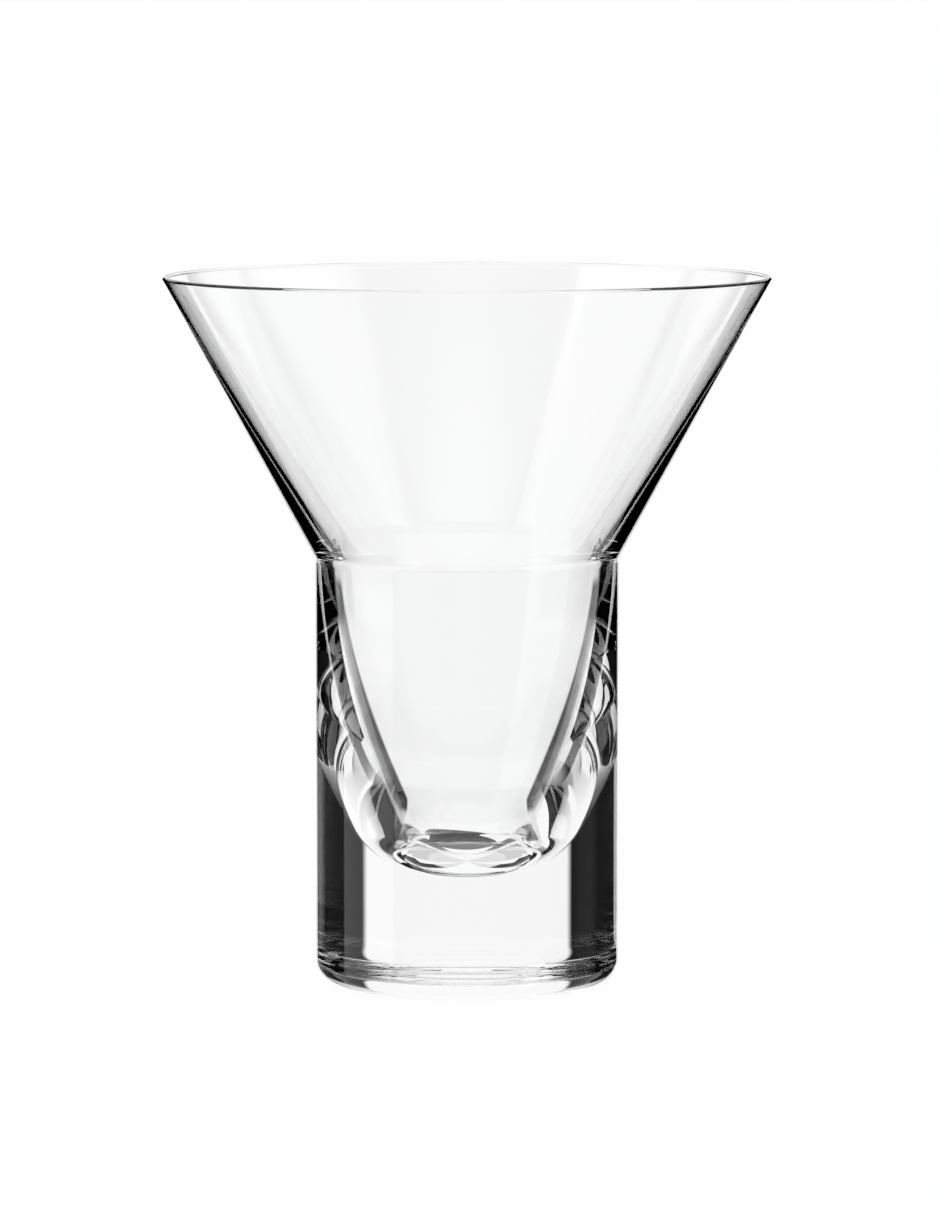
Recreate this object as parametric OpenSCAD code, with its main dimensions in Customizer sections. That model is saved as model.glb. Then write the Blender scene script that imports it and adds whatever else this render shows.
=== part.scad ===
// Stemless cocktail glass: a thin flared bowl fused into a heavy solid base.
// It is worked from two gathers of clear glass. The first is blown into the bowl
// and the tapering cup below it. The second wraps that cup and makes the base.
// Millimetres, +Z up, origin at the centre of the flat underside.

/* [Outside] */
// Height from the table to the top of the lip
height = 112; // [104:0.5:120]
// Diameter across the lip
rim_diameter = 96; // [88:0.5:104]
// Diameter of the heavy base
base_diameter = 48; // [42:0.5:54]
// Height of the waist, where the line of the flare meets the base
waist_height = 67.5; // [60:0.5:76]
// Radius that eases the base into the flare on the outside
waist_round = 2.5; // [1:0.5:10]
// Radius of the rounded corner under the base
base_corner = 3.4; // [1:0.1:6]

/* [Hollow] */
// Wall thickness at the lip, which is fully rounded
lip_wall = 0.9; // [0.7:0.1:2]
// Radius of the long hollow curve inside the flare, which thickens the wall towards the waist
flare_curve = 460; // [350:10:900]
// Wall thickness at the waist
waist_wall = 2.7; // [2:0.1:4]
// Radius that eases the flare into the cup on the inside
waist_blend = 3; // [1:0.5:10]
// Radius of the long inward curve of the cup's wall
cup_curve = 120; // [100:1:180]
// Thickness of solid glass under the cup
floor_thickness = 17.5; // [12:0.1:26]
// Radius of the flat middle of the cup's floor
floor_flat = 1.8; // [1:0.1:3]
// Radius between the cup's wall and its floor
floor_fillet = 11; // [6:0.5:13]

/* [Gathers] */
// Thickness of the first gather below the waist
gather_wall = 1.4; // [0.8:0.1:1.8]

/* [Hidden] */

$fn = 180;
arc_steps = 16;
clear_glass = [0.9, 0.95, 0.96, 0.35];

// Profile points are [radius, height]. An arc leaves out its first point,
// because the stretch before it ends there.
function on_circle(centre, radius, angle) = centre + radius * [cos(angle), sin(angle)];
function arc(centre, radius, from, to) = [
    for (i = [1:arc_steps]) on_circle(centre, radius, from + (to - from) * i / arc_steps)
];
function heading(line) = atan2(line.y, line.x);
// Centre of a curve that lies at the given distances from two points, to the right of the way between them
function swing_centre(first, first_swing, second, second_swing) =
    let (
        way = second - first,
        span = norm(way),
        along = (pow(first_swing, 2) - pow(second_swing, 2) + pow(span, 2)) / (2 * span),
        aside = sqrt(pow(first_swing, 2) - pow(along, 2))
    )
    first + (along * way + aside * [way.y, -way.x]) / span;

// Lip: a half round between the inside and the outside of the bowl
rim_radius = rim_diameter / 2;
lip_radius = lip_wall / 2;
lip_centre = [rim_radius - lip_radius, height - lip_radius];
lip_inside = lip_centre - [lip_radius, 0];

// Waist outside: an arc tangent to the upright base and to the straight flare
base_radius = base_diameter / 2;
flare_lean = 90 - heading([rim_radius - base_radius, lip_centre.y - waist_height]);
shoulder = [base_radius, waist_height - waist_round * tan(flare_lean / 2)];
round_centre = shoulder + [waist_round, 0];

// Cup: one long arc from the waist down, tangent to the fillet round the flat floor
cup_mouth = [base_radius - waist_wall, waist_height];
fillet_centre = [floor_flat, floor_thickness + floor_fillet];
cup_centre = swing_centre(cup_mouth, cup_curve, fillet_centre, cup_curve - floor_fillet);
cup_top = heading(cup_mouth - cup_centre);
cup_bottom = heading(fillet_centre - cup_centre);

// Waist inside: an arc tangent to the cup's wall and to the long curve inside the flare
blend_centre = on_circle(cup_mouth, waist_blend, cup_top);
flare_centre = swing_centre(lip_inside, flare_curve, blend_centre, flare_curve + waist_blend);
flare_bottom = heading(blend_centre - flare_centre);
flare_top = heading(lip_inside - flare_centre);

// Joint of the two gathers: the cup's outline, one gather's thickness outside it
joint_curve = cup_curve + gather_wall;
joint_top = asin((shoulder.y - cup_centre.y) / joint_curve);

hollow_line = concat(
    [[0, floor_thickness], [floor_flat, floor_thickness]],
    arc(fillet_centre, floor_fillet, -90, cup_bottom),
    arc(cup_centre, cup_curve, cup_bottom, cup_top),
    arc(blend_centre, waist_blend, 180 + cup_top, 180 + flare_bottom),
    arc(flare_centre, flare_curve, flare_bottom, flare_top)
);

joint_line = concat(
    [on_circle(cup_centre, joint_curve, joint_top)],
    arc(cup_centre, joint_curve, joint_top, cup_bottom),
    arc(fillet_centre, floor_fillet + gather_wall, cup_bottom, -90),
    [[0, floor_thickness - gather_wall]]
);

corner_centre = [base_radius - base_corner, base_corner];

module blown_bowl() {
    color(clear_glass)
        rotate_extrude()
            polygon(concat(
                hollow_line,
                arc(lip_centre, lip_radius, 180, 0),
                [on_circle(round_centre, waist_round, 180 - flare_lean)],
                arc(round_centre, waist_round, 180 - flare_lean, 180),
                joint_line
            ));
}

module heavy_base() {
    color(clear_glass)
        rotate_extrude()
            polygon(concat(
                [[0, 0], [corner_centre.x, 0]],
                arc(corner_centre, base_corner, -90, 0),
                [shoulder],
                joint_line
            ));
}

blown_bowl();
heavy_base();
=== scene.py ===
import logging
import math
from dataclasses import dataclass
from enum import Enum

import bmesh
import bpy
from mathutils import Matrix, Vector


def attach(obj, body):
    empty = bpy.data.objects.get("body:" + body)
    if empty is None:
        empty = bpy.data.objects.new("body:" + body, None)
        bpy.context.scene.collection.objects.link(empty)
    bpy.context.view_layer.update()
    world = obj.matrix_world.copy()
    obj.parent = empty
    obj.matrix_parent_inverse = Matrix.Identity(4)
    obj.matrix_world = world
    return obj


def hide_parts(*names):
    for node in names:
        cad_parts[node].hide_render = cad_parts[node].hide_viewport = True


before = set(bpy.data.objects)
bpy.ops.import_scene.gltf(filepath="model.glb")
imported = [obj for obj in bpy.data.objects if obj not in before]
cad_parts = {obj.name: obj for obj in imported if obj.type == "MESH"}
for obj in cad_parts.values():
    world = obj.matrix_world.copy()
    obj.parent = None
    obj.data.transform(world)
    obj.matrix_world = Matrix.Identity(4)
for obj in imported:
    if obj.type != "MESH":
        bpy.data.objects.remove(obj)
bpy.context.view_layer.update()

MM = 0.001
log = logging.getLogger("cocktail_glass")

Point = tuple[float, float]
Shade = bpy.types.NodeSocket | float
# Start, end and width of the soft edges of a range of angles, in degrees
Span = tuple[float, float, float]

# Ends past every direction, for a range of angles that has no edge there
NO_INNER = -10.0
NO_OUTER = 200.0
NO_FOOT = -95.0
NO_TOP = 100.0

# Limits on the bounces of light, inside the glass and through the fused joint
BOUNCES = 14
CLEAR_BOUNCES = 32


class Gather(Enum):
    """The two masses of glass, named as their CAD nodes are."""

    BOWL = "blown_bowl"
    BASE = "heavy_base"


class Slot(Enum):
    """Which finish a face of a gather takes."""

    CLEAR = 0
    FUSED = 1


class Seen(Enum):
    """The kinds of ray that a piece of the set shows itself to."""

    CAMERA = "visible_camera"
    THROUGH = "visible_transmission"
    MIRRORED = "visible_glossy"
    LIT = "visible_diffuse"
    SHADOW = "visible_shadow"


def on_circle(centre: Point, radius: float, angle: float) -> Point:
    """Point of a circle.

    Args:
        centre: Radius and height of the centre, in millimetres.
        radius: Radius of the circle, in millimetres.
        angle: Angle from the outward direction, in degrees.

    Returns:
        Radius and height of the point, in millimetres.
    """
    turn = math.radians(angle)
    return centre[0] + radius * math.cos(turn), centre[1] + radius * math.sin(turn)


def dip(centre: Point, point: Point) -> float:
    """Angle by which a point lies below level, seen from a centre, in degrees."""
    return -math.degrees(math.atan2(point[1] - centre[1], point[0] - centre[0]))


def swing_centre(first: Point, first_swing: float, second: Point, second_swing: float) -> Point:
    """Centre of a curve, from its distances to two points.

    Args:
        first: First point, in millimetres.
        first_swing: Distance of the centre from it.
        second: Second point.
        second_swing: Distance of the centre from that.

    Returns:
        The centre, to the right of the way from the first point to the second.
    """
    across, up = second[0] - first[0], second[1] - first[1]
    span = math.hypot(across, up)
    along = (first_swing ** 2 - second_swing ** 2 + span ** 2) / (2 * span)
    aside = math.sqrt(first_swing ** 2 - along ** 2)
    return first[0] + (along * across + aside * up) / span, first[1] + (along * up - aside * across) / span


@dataclass(frozen=True)
class GlassForm:
    """Sizes of the whole glass, in millimetres and degrees, as in the solids."""

    height: float = 112.0
    rim_radius: float = 48.0
    base_radius: float = 24.0
    waist_height: float = 67.5
    base_corner: float = 3.4
    waist_round: float = 2.5
    lip_wall: float = 0.9
    flare_curve: float = 460.0
    waist_wall: float = 2.7
    waist_blend: float = 3.0
    cup_curve: float = 120.0
    floor_thickness: float = 17.5
    floor_flat: float = 1.8
    floor_fillet: float = 11.0
    gather_wall: float = 1.4

    @property
    def lip_radius(self) -> float:
        """Radius of the half round along the lip."""
        return self.lip_wall / 2

    @property
    def lip_centre(self) -> Point:
        """Centre of the half round along the lip."""
        return self.rim_radius - self.lip_radius, self.height - self.lip_radius

    @property
    def lip_inside(self) -> Point:
        """Where the half round along the lip meets the inside of the flare."""
        return self.rim_radius - self.lip_wall, self.lip_centre[1]

    @property
    def cup_mouth(self) -> Point:
        """Top of the cup's wall, at the waist."""
        return self.base_radius - self.waist_wall, self.waist_height

    @property
    def fillet_centre(self) -> Point:
        """Centre of the round between the cup's wall and its floor."""
        return self.floor_flat, self.floor_thickness + self.floor_fillet

    @property
    def cup_centre(self) -> Point:
        """Centre of the long arc through the mouth and tangent to the fillet."""
        swing = self.cup_curve - self.floor_fillet
        return swing_centre(self.cup_mouth, self.cup_curve, self.fillet_centre, swing)

    @property
    def cup_lean(self) -> float:
        """Lean of the cup's wall at its mouth, from upright."""
        return dip(self.cup_centre, self.cup_mouth)

    @property
    def floor_lean(self) -> float:
        """Lean of the cup's wall where its fillet starts, from upright."""
        return dip(self.cup_centre, self.fillet_centre)

    @property
    def blend_centre(self) -> Point:
        """Centre of the round that eases the flare into the cup."""
        return on_circle(self.cup_mouth, self.waist_blend, -self.cup_lean)

    @property
    def flare_centre(self) -> Point:
        """Centre of the long curve inside the flare, through the lip and tangent to the waist's round."""
        swing = self.flare_curve + self.waist_blend
        return swing_centre(self.lip_inside, self.flare_curve, self.blend_centre, swing)

    @property
    def foot_lean(self) -> float:
        """Lean of the flare's inside where it leaves the waist's round, from upright."""
        return dip(self.flare_centre, self.blend_centre)

    @property
    def lip_lean(self) -> float:
        """Lean of the flare's inside at the lip, from upright."""
        return dip(self.flare_centre, self.lip_inside)

    @property
    def flare_lean(self) -> float:
        """Lean of the flare's outside, from upright."""
        rise = self.lip_centre[1] - self.waist_height
        return math.degrees(math.atan2(self.rim_radius - self.base_radius, rise))

    @property
    def shoulder(self) -> float:
        """Height at which the base ends and the round outside the waist starts."""
        return self.waist_height - self.waist_round * math.tan(math.radians(self.flare_lean / 2))

    @property
    def joint_lean(self) -> float:
        """Angle on the joint's long arc at which it meets the shoulder."""
        rise = self.cup_centre[1] - self.shoulder
        return math.degrees(math.asin(rise / (self.cup_curve + self.gather_wall)))


class Lathe:
    """Draws profiles in the XZ plane and turns them round Z into one mesh."""

    SEGMENTS = 192
    # Distance within which points merge, in metres
    MERGE = 1e-6
    # Angle from which an edge is sharp, in degrees
    CREASE = 20.0

    def __init__(self) -> None:
        """Starts an empty mesh."""
        self.mesh = bmesh.new()
        self.tip: bmesh.types.BMVert | None = None

    def start(self, point: Point) -> "Lathe":
        """Starts a stretch of profile at a point given in millimetres."""
        self.tip = self.mesh.verts.new((point[0] * MM, 0.0, point[1] * MM))
        return self

    def line(self, point: Point, steps: int = 1) -> "Lathe":
        """Draws a straight line.

        Args:
            point: Where the line ends, in millimetres.
            steps: How many equal steps it has.

        Returns:
            This lathe.
        """
        stride = (Vector((point[0] * MM, 0.0, point[1] * MM)) - self.tip.co) / steps
        for _ in range(steps):
            drawn = bmesh.ops.extrude_vert_indiv(self.mesh, verts=[self.tip])
            self.tip = drawn["verts"][0]
            bmesh.ops.translate(self.mesh, verts=[self.tip], vec=stride)
        return self

    def arc(self, centre: Point, turn: float, steps: int) -> "Lathe":
        """Draws an arc from the tip of the profile.

        Args:
            centre: Centre of the arc, in millimetres.
            turn: Angle that it covers, in degrees, positive from outward to upward.
            steps: How many straight steps it has.

        Returns:
            This lathe.
        """
        drawn = bmesh.ops.spin(
            self.mesh,
            geom=[self.tip],
            cent=(centre[0] * MM, 0.0, centre[1] * MM),
            axis=(0.0, -1.0, 0.0),
            angle=math.radians(turn),
            steps=steps,
        )
        self.tip = next(item for item in drawn["geom_last"] if isinstance(item, bmesh.types.BMVert))
        return self

    def turn(self, slot: Slot) -> "Lathe":
        """Turns the stretch drawn so far round Z.

        Args:
            slot: The finish that its faces take.

        Returns:
            This lathe.
        """
        before = set(self.mesh.faces)
        wire = [edge for edge in self.mesh.edges if not edge.link_faces]
        ends = [vert for vert in self.mesh.verts if not vert.link_faces]
        bmesh.ops.spin(
            self.mesh,
            geom=[*ends, *wire],
            cent=(0.0, 0.0, 0.0),
            axis=(0.0, 0.0, 1.0),
            angle=math.tau,
            steps=self.SEGMENTS,
            use_merge=True,
        )
        for face in set(self.mesh.faces) - before:
            face.material_index = slot.value
        return self

    def piece(self, name: str) -> bpy.types.Object:
        """Closes the mesh and makes an object of it.

        Args:
            name: Name of the object.

        Returns:
            The object, at the origin.
        """
        bmesh.ops.remove_doubles(self.mesh, verts=self.mesh.verts, dist=self.MERGE)
        bmesh.ops.recalc_face_normals(self.mesh, faces=self.mesh.faces)
        mesh = bpy.data.meshes.new(name)
        self.mesh.to_mesh(mesh)
        self.mesh.free()
        mesh.shade_smooth()
        mesh.set_sharp_from_angle(angle=math.radians(self.CREASE))
        made = bpy.data.objects.new(name, mesh)
        bpy.context.scene.collection.objects.link(made)
        return made


@dataclass(frozen=True)
class ClearGlass:
    """Colourless polished glass with the faint cords of hand work in it."""

    name: str = "clear_glass"
    ior: float = 1.5
    cord_scale: tuple[float, float, float] = (60.0, 60.0, 14.0)
    cord_depth: float = 0.000012
    pale: tuple[float, float, float, float] = (1.0, 1.0, 1.0, 1.0)
    deep: tuple[float, float, float, float] = (0.985, 0.99, 0.99, 1.0)

    def material(self) -> bpy.types.Material:
        """Makes the material.

        Returns:
            A Principled material whose cords follow the Object coordinates.
        """
        made = bpy.data.materials.new(self.name)
        made.use_nodes = True
        nodes, links = made.node_tree.nodes, made.node_tree.links
        glass = nodes["Principled BSDF"]
        glass.inputs["IOR"].default_value = self.ior
        glass.inputs["Roughness"].default_value = 0.0
        glass.inputs["Transmission Weight"].default_value = 1.0
        place = nodes.new("ShaderNodeTexCoord")
        stretch = nodes.new("ShaderNodeMapping")
        stretch.inputs["Scale"].default_value = self.cord_scale
        links.new(place.outputs["Object"], stretch.inputs["Vector"])
        cords = nodes.new("ShaderNodeTexNoise")
        cords.inputs["Scale"].default_value = 1.0
        cords.inputs["Detail"].default_value = 1.0
        links.new(stretch.outputs["Vector"], cords.inputs["Vector"])
        tint = nodes.new("ShaderNodeMix")
        tint.data_type = "RGBA"
        tint.inputs["A"].default_value = self.pale
        tint.inputs["B"].default_value = self.deep
        links.new(cords.outputs["Fac"], tint.inputs["Factor"])
        links.new(tint.outputs["Result"], glass.inputs["Base Color"])
        swell = nodes.new("ShaderNodeBump")
        swell.inputs["Distance"].default_value = self.cord_depth
        links.new(cords.outputs["Fac"], swell.inputs["Height"])
        links.new(swell.outputs["Normal"], glass.inputs["Normal"])
        return made


@dataclass(frozen=True)
class FusedJoint:
    """The surface along which the gathers are fused, which can't be seen."""

    name: str = "fused_joint"

    def material(self) -> bpy.types.Material:
        """Makes the material.

        Returns:
            A Principled material that light passes straight through.
        """
        made = bpy.data.materials.new(self.name)
        made.use_nodes = True
        skin = made.node_tree.nodes["Principled BSDF"]
        skin.inputs["Alpha"].default_value = 0.0
        return made


@dataclass
class BlownBowl:
    """The first gather: the flared bowl, its lip and the cup below the waist."""

    form: GlassForm
    floor_rings: int = 3
    cup_rings: int = 32
    round_rings: int = 16
    flare_rings: int = 32
    waist_rings: int = 8
    joint_rings: int = 12

    def build(self) -> bpy.types.Object:
        """Turns the gather's profile, from the cup's floor over the lip to the joint.

        Returns:
            The closed piece.
        """
        form = self.form
        lathe = Lathe()
        lathe.start((0.0, form.floor_thickness))
        lathe.line((form.floor_flat, form.floor_thickness), self.floor_rings)
        lathe.arc(form.fillet_centre, 90.0 - form.floor_lean, self.cup_rings)
        lathe.arc(form.cup_centre, form.floor_lean - form.cup_lean, self.cup_rings)
        lathe.arc(form.blend_centre, form.cup_lean - form.foot_lean, self.round_rings)
        lathe.arc(form.flare_centre, form.foot_lean - form.lip_lean, self.flare_rings)
        lathe.arc(form.lip_centre, -180.0, self.round_rings)
        round_centre = (form.base_radius + form.waist_round, form.shoulder)
        lathe.line(on_circle(round_centre, form.waist_round, 180.0 - form.flare_lean), self.flare_rings)
        lathe.arc(round_centre, form.flare_lean, self.waist_rings)
        lathe.turn(Slot.CLEAR)
        self.joint(lathe)
        return lathe.piece(Gather.BOWL.value)

    def joint(self, lathe: Lathe) -> None:
        """Turns the fused surface, from the waist down to the axis.

        Args:
            lathe: The lathe of the gather that the surface closes.
        """
        form = self.form
        arc_top = on_circle(form.cup_centre, form.cup_curve + form.gather_wall, -form.joint_lean)
        lathe.start((form.base_radius, form.shoulder))
        lathe.line(arc_top)
        lathe.arc(form.cup_centre, form.joint_lean - form.floor_lean, self.joint_rings)
        lathe.arc(form.fillet_centre, form.floor_lean - 90.0, self.joint_rings)
        lathe.line((0.0, form.floor_thickness - form.gather_wall), self.floor_rings)
        lathe.turn(Slot.FUSED)


@dataclass
class HeavyBase:
    """The second gather: the solid cylinder that wraps the cup."""

    form: GlassForm
    bowl: BlownBowl
    underside_rings: int = 4
    corner_rings: int = 24
    side_rings: int = 12

    def build(self) -> bpy.types.Object:
        """Turns the gather's profile, from the underside up to the waist and the joint.

        Returns:
            The closed piece.
        """
        form = self.form
        lathe = Lathe()
        corner = form.base_radius - form.base_corner
        lathe.start((0.0, 0.0))
        lathe.line((corner, 0.0), self.underside_rings)
        lathe.arc((corner, form.base_corner), 90.0, self.corner_rings)
        lathe.line((form.base_radius, form.shoulder), self.side_rings)
        lathe.turn(Slot.CLEAR)
        self.bowl.joint(lathe)
        return lathe.piece(Gather.BASE.value)


def dress(piece: bpy.types.Object, finishes: list[bpy.types.Material], gather: Gather) -> None:
    """Gives a piece its finishes and ties it to the frame.

    Args:
        piece: The piece.
        finishes: Materials in the order of Slot.
        gather: The CAD node that the piece stands for.
    """
    for finish in finishes:
        piece.data.materials.append(finish)
    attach(piece, "root")
    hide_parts(gather.value)
    log.info("%s: %d faces", piece.name, len(piece.data.polygons))


@dataclass(frozen=True)
class Card:
    """A flat card of the photographer's set, by its corners in millimetres."""

    name: str
    corners: tuple[tuple[float, float, float], ...]
    shade: float
    seen: tuple[Seen, ...]

    def place(self) -> bpy.types.Object:
        """Makes the card as part of the set.

        Returns:
            The card.
        """
        sheet = bmesh.new()
        sheet.faces.new([sheet.verts.new(Vector(corner) * MM) for corner in self.corners])
        mesh = bpy.data.meshes.new(self.name)
        sheet.to_mesh(mesh)
        sheet.free()
        mesh.materials.append(self.material())
        made = bpy.data.objects.new(self.name, mesh)
        bpy.context.scene.collection.objects.link(made)
        for kind in Seen:
            setattr(made, kind.value, kind in self.seen)
        return made

    def material(self) -> bpy.types.Material:
        """Makes the card's plain even shade.

        Returns:
            A material that glows evenly.
        """
        made = bpy.data.materials.new(self.name)
        made.use_nodes = True
        tree = made.node_tree
        glow = tree.nodes.new("ShaderNodeEmission")
        glow.inputs["Color"].default_value = (self.shade, self.shade, self.shade, 1.0)
        tree.links.new(glow.outputs["Emission"], tree.nodes["Material Output"].inputs["Surface"])
        return made


class Across(Enum):
    """The angle that bounds a panel from side to side."""

    AZIMUTH = "azimuth"
    ASIDE = "aside"


@dataclass(frozen=True)
class Softbox:
    """An evenly lit part of the world, by its brightness and its ranges of angles."""

    shade: float
    across: Span
    up: Span
    by: Across = Across.ASIDE


class Panel(Enum):
    """The lit panels of the studio, which leave dark gaps for the edges of the glass."""

    BACK = Softbox(1.0, (NO_INNER, 31.0, 3.0), (-11.5, 60.0, 2.0))
    BACK_FOOT = Softbox(1.0, (NO_INNER, 20.0, 2.0), (NO_FOOT, -9.5, 2.0))
    BESIDE_FOOT = Softbox(1.0, (36.0, 54.0, 3.0), (NO_FOOT, -20.0, 4.0))
    LOW_BAND = Softbox(1.0, (36.0, NO_OUTER, 3.0), (-34.0, -20.0, 4.0))
    LOW_ROOM = Softbox(0.65, (36.0, NO_OUTER, 3.0), (NO_FOOT, -30.0, 4.0))
    FLOOR = Softbox(0.8, (NO_INNER, NO_OUTER, 4.0), (NO_FOOT, -50.0, 8.0))
    FRONT_FLOOR = Softbox(1.0, (116.0, NO_OUTER, 8.0), (NO_FOOT, -10.4, 1.0))
    RIGHT = Softbox(0.2, (66.0, 90.0, 14.0), (-25.0, 30.0, 6.0), Across.AZIMUTH)
    LEFT = Softbox(1.0, (-122.0, -72.0, 2.0), (-30.0, 60.0, 2.0), Across.AZIMUTH)
    BACK_TOP = Softbox(0.9, (NO_INNER, 66.0, 6.0), (20.0, 60.0, 6.0))
    BACK_CEILING = Softbox(1.0, (NO_INNER, 65.0, 10.0), (34.0, NO_TOP, 8.0))
    HIGH_BAND = Softbox(1.0, (NO_INNER, 125.0, 8.0), (33.0, 48.0, 6.0))
    CEILING = Softbox(1.0, (NO_INNER, NO_OUTER, 4.0), (56.0, NO_TOP, 8.0))
    FRONT_CEILING = Softbox(0.25, (155.0, NO_OUTER, 30.0), (48.0, NO_TOP, 10.0))


class Sky:
    """Paints the world by direction.

    Azimuth goes from +Y towards +X, aside is its size to either hand, and elevation goes from level to up.
    """

    def __init__(self) -> None:
        """Starts a world with its three angles."""
        world = bpy.data.worlds.new("studio")
        bpy.context.scene.world = world
        world.use_nodes = True
        self.tree = world.node_tree
        self.tree.nodes.clear()
        place = self.tree.nodes.new("ShaderNodeTexCoord")
        split = self.tree.nodes.new("ShaderNodeSeparateXYZ")
        self.tree.links.new(place.outputs["Generated"], split.inputs["Vector"])
        self.azimuth = self.math("ARCTAN2", split.outputs["X"], split.outputs["Y"])
        self.elevation = self.math("ARCSINE", split.outputs["Z"])
        self.aside = self.math("ABSOLUTE", self.azimuth)

    def math(self, operation: str, first: Shade, second: Shade | None = None) -> bpy.types.NodeSocket:
        """Adds a Math node.

        Args:
            operation: Its operation.
            first: First input.
            second: Second input, if it has one.

        Returns:
            Its output.
        """
        node = self.tree.nodes.new("ShaderNodeMath")
        node.operation = operation
        for socket, value in zip(node.inputs, (first, second)):
            if isinstance(value, bpy.types.NodeSocket):
                self.tree.links.new(value, socket)
            elif value is not None:
                socket.default_value = value
        return node.outputs["Value"]

    def between(self, angle: bpy.types.NodeSocket, span: Span) -> bpy.types.NodeSocket:
        """Masks a range of an angle.

        Args:
            angle: The angle.
            span: The range.

        Returns:
            A mask that is 1 inside the range.
        """
        low, high, soft = span
        rise = self.ramp(angle, low - soft / 2, low + soft / 2)
        fall = self.ramp(angle, high + soft / 2, high - soft / 2)
        return self.math("MULTIPLY", rise, fall)

    def ramp(self, angle: bpy.types.NodeSocket, zero: float, one: float) -> bpy.types.NodeSocket:
        """Rises smoothly from 0 to 1.

        Args:
            angle: The angle.
            zero: Where the rise starts, in degrees.
            one: Where it ends, in degrees.

        Returns:
            The rise by that angle.
        """
        node = self.tree.nodes.new("ShaderNodeMapRange")
        node.interpolation_type = "SMOOTHSTEP"
        self.tree.links.new(angle, node.inputs["Value"])
        node.inputs["From Min"].default_value = math.radians(zero)
        node.inputs["From Max"].default_value = math.radians(one)
        return node.outputs["Result"]

    def window(self, box: Softbox) -> bpy.types.NodeSocket:
        """Paints a softbox.

        Args:
            box: The softbox.

        Returns:
            Its brightness by direction.
        """
        angle = self.azimuth if box.by is Across.AZIMUTH else self.aside
        wide = self.between(angle, box.across)
        tall = self.between(self.elevation, box.up)
        return self.math("MULTIPLY", self.math("MULTIPLY", wide, tall), box.shade)

    def finish(self, dark: float) -> None:
        """Joins the panels, and shows white to the camera.

        Args:
            dark: Brightness of the room between them.
        """
        rays = self.tree.nodes.new("ShaderNodeLightPath")
        light = rays.outputs["Is Camera Ray"]
        for panel in Panel:
            light = self.math("MAXIMUM", light, self.window(panel.value))
        light = self.math("MAXIMUM", light, dark)
        back = self.tree.nodes.new("ShaderNodeBackground")
        back.inputs["Color"].default_value = (1.0, 1.0, 1.0, 1.0)
        self.tree.links.new(light, back.inputs["Strength"])
        out = self.tree.nodes.new("ShaderNodeOutputWorld")
        self.tree.links.new(back.outputs["Background"], out.inputs["Surface"])


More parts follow.
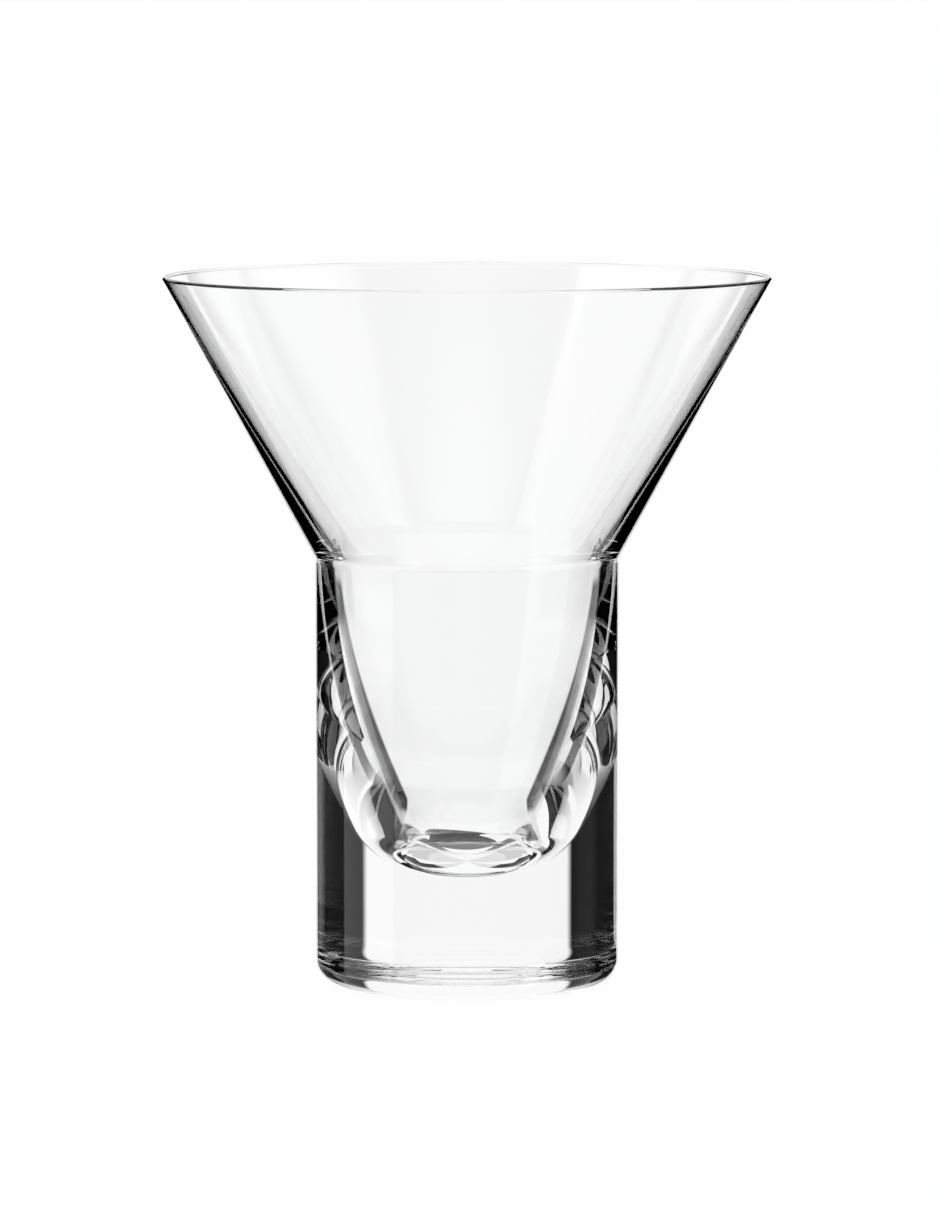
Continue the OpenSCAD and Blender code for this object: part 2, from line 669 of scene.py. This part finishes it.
@dataclass
class StudioSet:
    """A white table under lit panels, and black boards that draw the dark stripes in the glass."""

    reach: float = 4000.0
    drop: float = 0.15
    table_glow: float = 0.97
    table_paper: float = 0.03
    board_inner: Point = (69.0, 145.0)
    board_outer: Point = (125.0, 94.0)
    board_low: float = -100.0
    board_high: float = 130.0
    shade_centre: Point = (-2.0, 17.8)
    shade_reach: Point = (13.5, 8.6)
    shade_sides: int = 48
    lamp_size: float = 500.0
    lamp_power: float = 6.0
    lamp_place: tuple[float, float, float] = (0.0, -100.0, 800.0)
    room_dark: float = 0.01

    def build(self) -> None:
        """Sets up the table, the boards, the shade, the lamp and the panels."""
        self.table()
        for side, name in ((-1.0, "left"), (1.0, "right")):
            self.board(f"{name}_board", side)
        self.shade()
        self.lamp()
        Sky().finish(self.room_dark)

    def table(self) -> None:
        """Lays the white table, which keeps a faint shadow of the glass."""
        far, low = self.reach, -self.drop
        square = ((-far, -far, low), (far, -far, low), (far, far, low), (-far, far, low))
        table = Card("white_table", square, self.table_glow, (Seen.CAMERA, Seen.LIT, Seen.SHADOW)).place()
        tree = table.data.materials[0].node_tree
        paper = tree.nodes.new("ShaderNodeBsdfDiffuse")
        paper.inputs["Color"].default_value = (self.table_paper, self.table_paper, self.table_paper, 1.0)
        both = tree.nodes.new("ShaderNodeAddShader")
        out = tree.nodes["Material Output"].inputs["Surface"]
        tree.links.new(out.links[0].from_socket, both.inputs[0])
        tree.links.new(paper.outputs["BSDF"], both.inputs[1])
        tree.links.new(both.outputs["Shader"], out)

    def board(self, name: str, side: float) -> None:
        """Stands a black board behind the glass, which is seen only in reflections.

        Args:
            name: Name of the board.
            side: -1 for the left, 1 for the right.
        """
        ends = (self.board_inner, self.board_outer)
        foot = [(side * x, y, self.board_low) for x, y in ends]
        top = [(side * x, y, self.board_high) for x, y in reversed(ends)]
        board = Card(name, (*foot, *top), shade=0.0, seen=(Seen.THROUGH, Seen.MIRRORED)).place()
        self.reflect_only(board.data.materials[0].node_tree)

    def reflect_only(self, tree: bpy.types.NodeTree) -> None:
        """Hides a board from rays without a reflection, so that the view through the glass stays clear.

        Args:
            tree: Nodes of the board's material.
        """
        rays = tree.nodes.new("ShaderNodeLightPath")
        mirrored = tree.nodes.new("ShaderNodeMath")
        mirrored.operation = "GREATER_THAN"
        mirrored.inputs[1].default_value = 0.5
        tree.links.new(rays.outputs["Glossy Depth"], mirrored.inputs[0])
        clear = tree.nodes.new("ShaderNodeBsdfTransparent")
        mix = tree.nodes.new("ShaderNodeMixShader")
        out = tree.nodes["Material Output"].inputs["Surface"]
        tree.links.new(mirrored.outputs["Value"], mix.inputs["Fac"])
        tree.links.new(clear.outputs["BSDF"], mix.inputs[1])
        tree.links.new(out.links[0].from_socket, mix.inputs[2])
        tree.links.new(mix.outputs["Shader"], out)

    def shade(self) -> None:
        """Lays a black card, seen only through the glass, as a painted shadow under the back of its base.
        """
        corners = []
        for step in range(self.shade_sides):
            turn = math.tau * step / self.shade_sides
            x = self.shade_centre[0] + self.shade_reach[0] * math.cos(turn)
            y = self.shade_centre[1] + self.shade_reach[1] * math.sin(turn)
            corners.append((x, y, -self.drop))
        Card("shade_under_base", tuple(corners), shade=0.0, seen=(Seen.THROUGH,)).place()

    def lamp(self) -> None:
        """Hangs a soft lamp over the glass."""
        light = bpy.data.lights.new("soft_lamp", "AREA")
        light.size = self.lamp_size * MM
        light.energy = self.lamp_power
        lamp = bpy.data.objects.new("soft_lamp", light)
        lamp.location = Vector(self.lamp_place) * MM
        lamp.visible_glossy = False
        lamp.visible_transmission = False
        bpy.context.scene.collection.objects.link(lamp)


@dataclass
class PhotoCamera:
    """The photograph's viewpoint, for a frame of 940 by 1215 pixels."""

    distance: float = 953.5
    height: float = 158.3
    aside: float = 0.47
    pitch: float = 5.92
    focal_pixels: float = 6050.0
    frame_height: float = 1215.0
    sensor: float = 36.0
    clip_start: float = 10.0

    def build(self) -> None:
        """Makes the camera and sets it as the scene's own."""
        lens = bpy.data.cameras.new("photo_camera")
        lens.sensor_width = self.sensor
        lens.lens = self.sensor * self.focal_pixels / self.frame_height
        lens.clip_start = self.clip_start * MM
        camera = bpy.data.objects.new("photo_camera", lens)
        camera.location = (self.aside * MM, -self.distance * MM, self.height * MM)
        camera.rotation_euler = (math.radians(90.0 - self.pitch), 0.0, 0.0)
        bpy.context.scene.collection.objects.link(camera)
        bpy.context.scene.camera = camera


def settings() -> None:
    """Sets the view transform, and the limits on bounces that keep the dark edges crisp."""
    scene = bpy.context.scene
    scene.view_settings.view_transform = "Standard"
    scene.cycles.max_bounces = BOUNCES
    scene.cycles.glossy_bounces = BOUNCES
    scene.cycles.transmission_bounces = BOUNCES
    scene.cycles.transparent_max_bounces = CLEAR_BOUNCES


def main() -> None:
    """Builds the glass, its set and its camera."""
    logging.basicConfig(level=logging.INFO)
    form = GlassForm()
    finishes = [ClearGlass().material(), FusedJoint().material()]
    bowl = BlownBowl(form)
    dress(bowl.build(), finishes, Gather.BOWL)
    dress(HeavyBase(form, bowl).build(), finishes, Gather.BASE)
    StudioSet().build()
    PhotoCamera().build()
    settings()


if __name__ == "__main__":
    main()
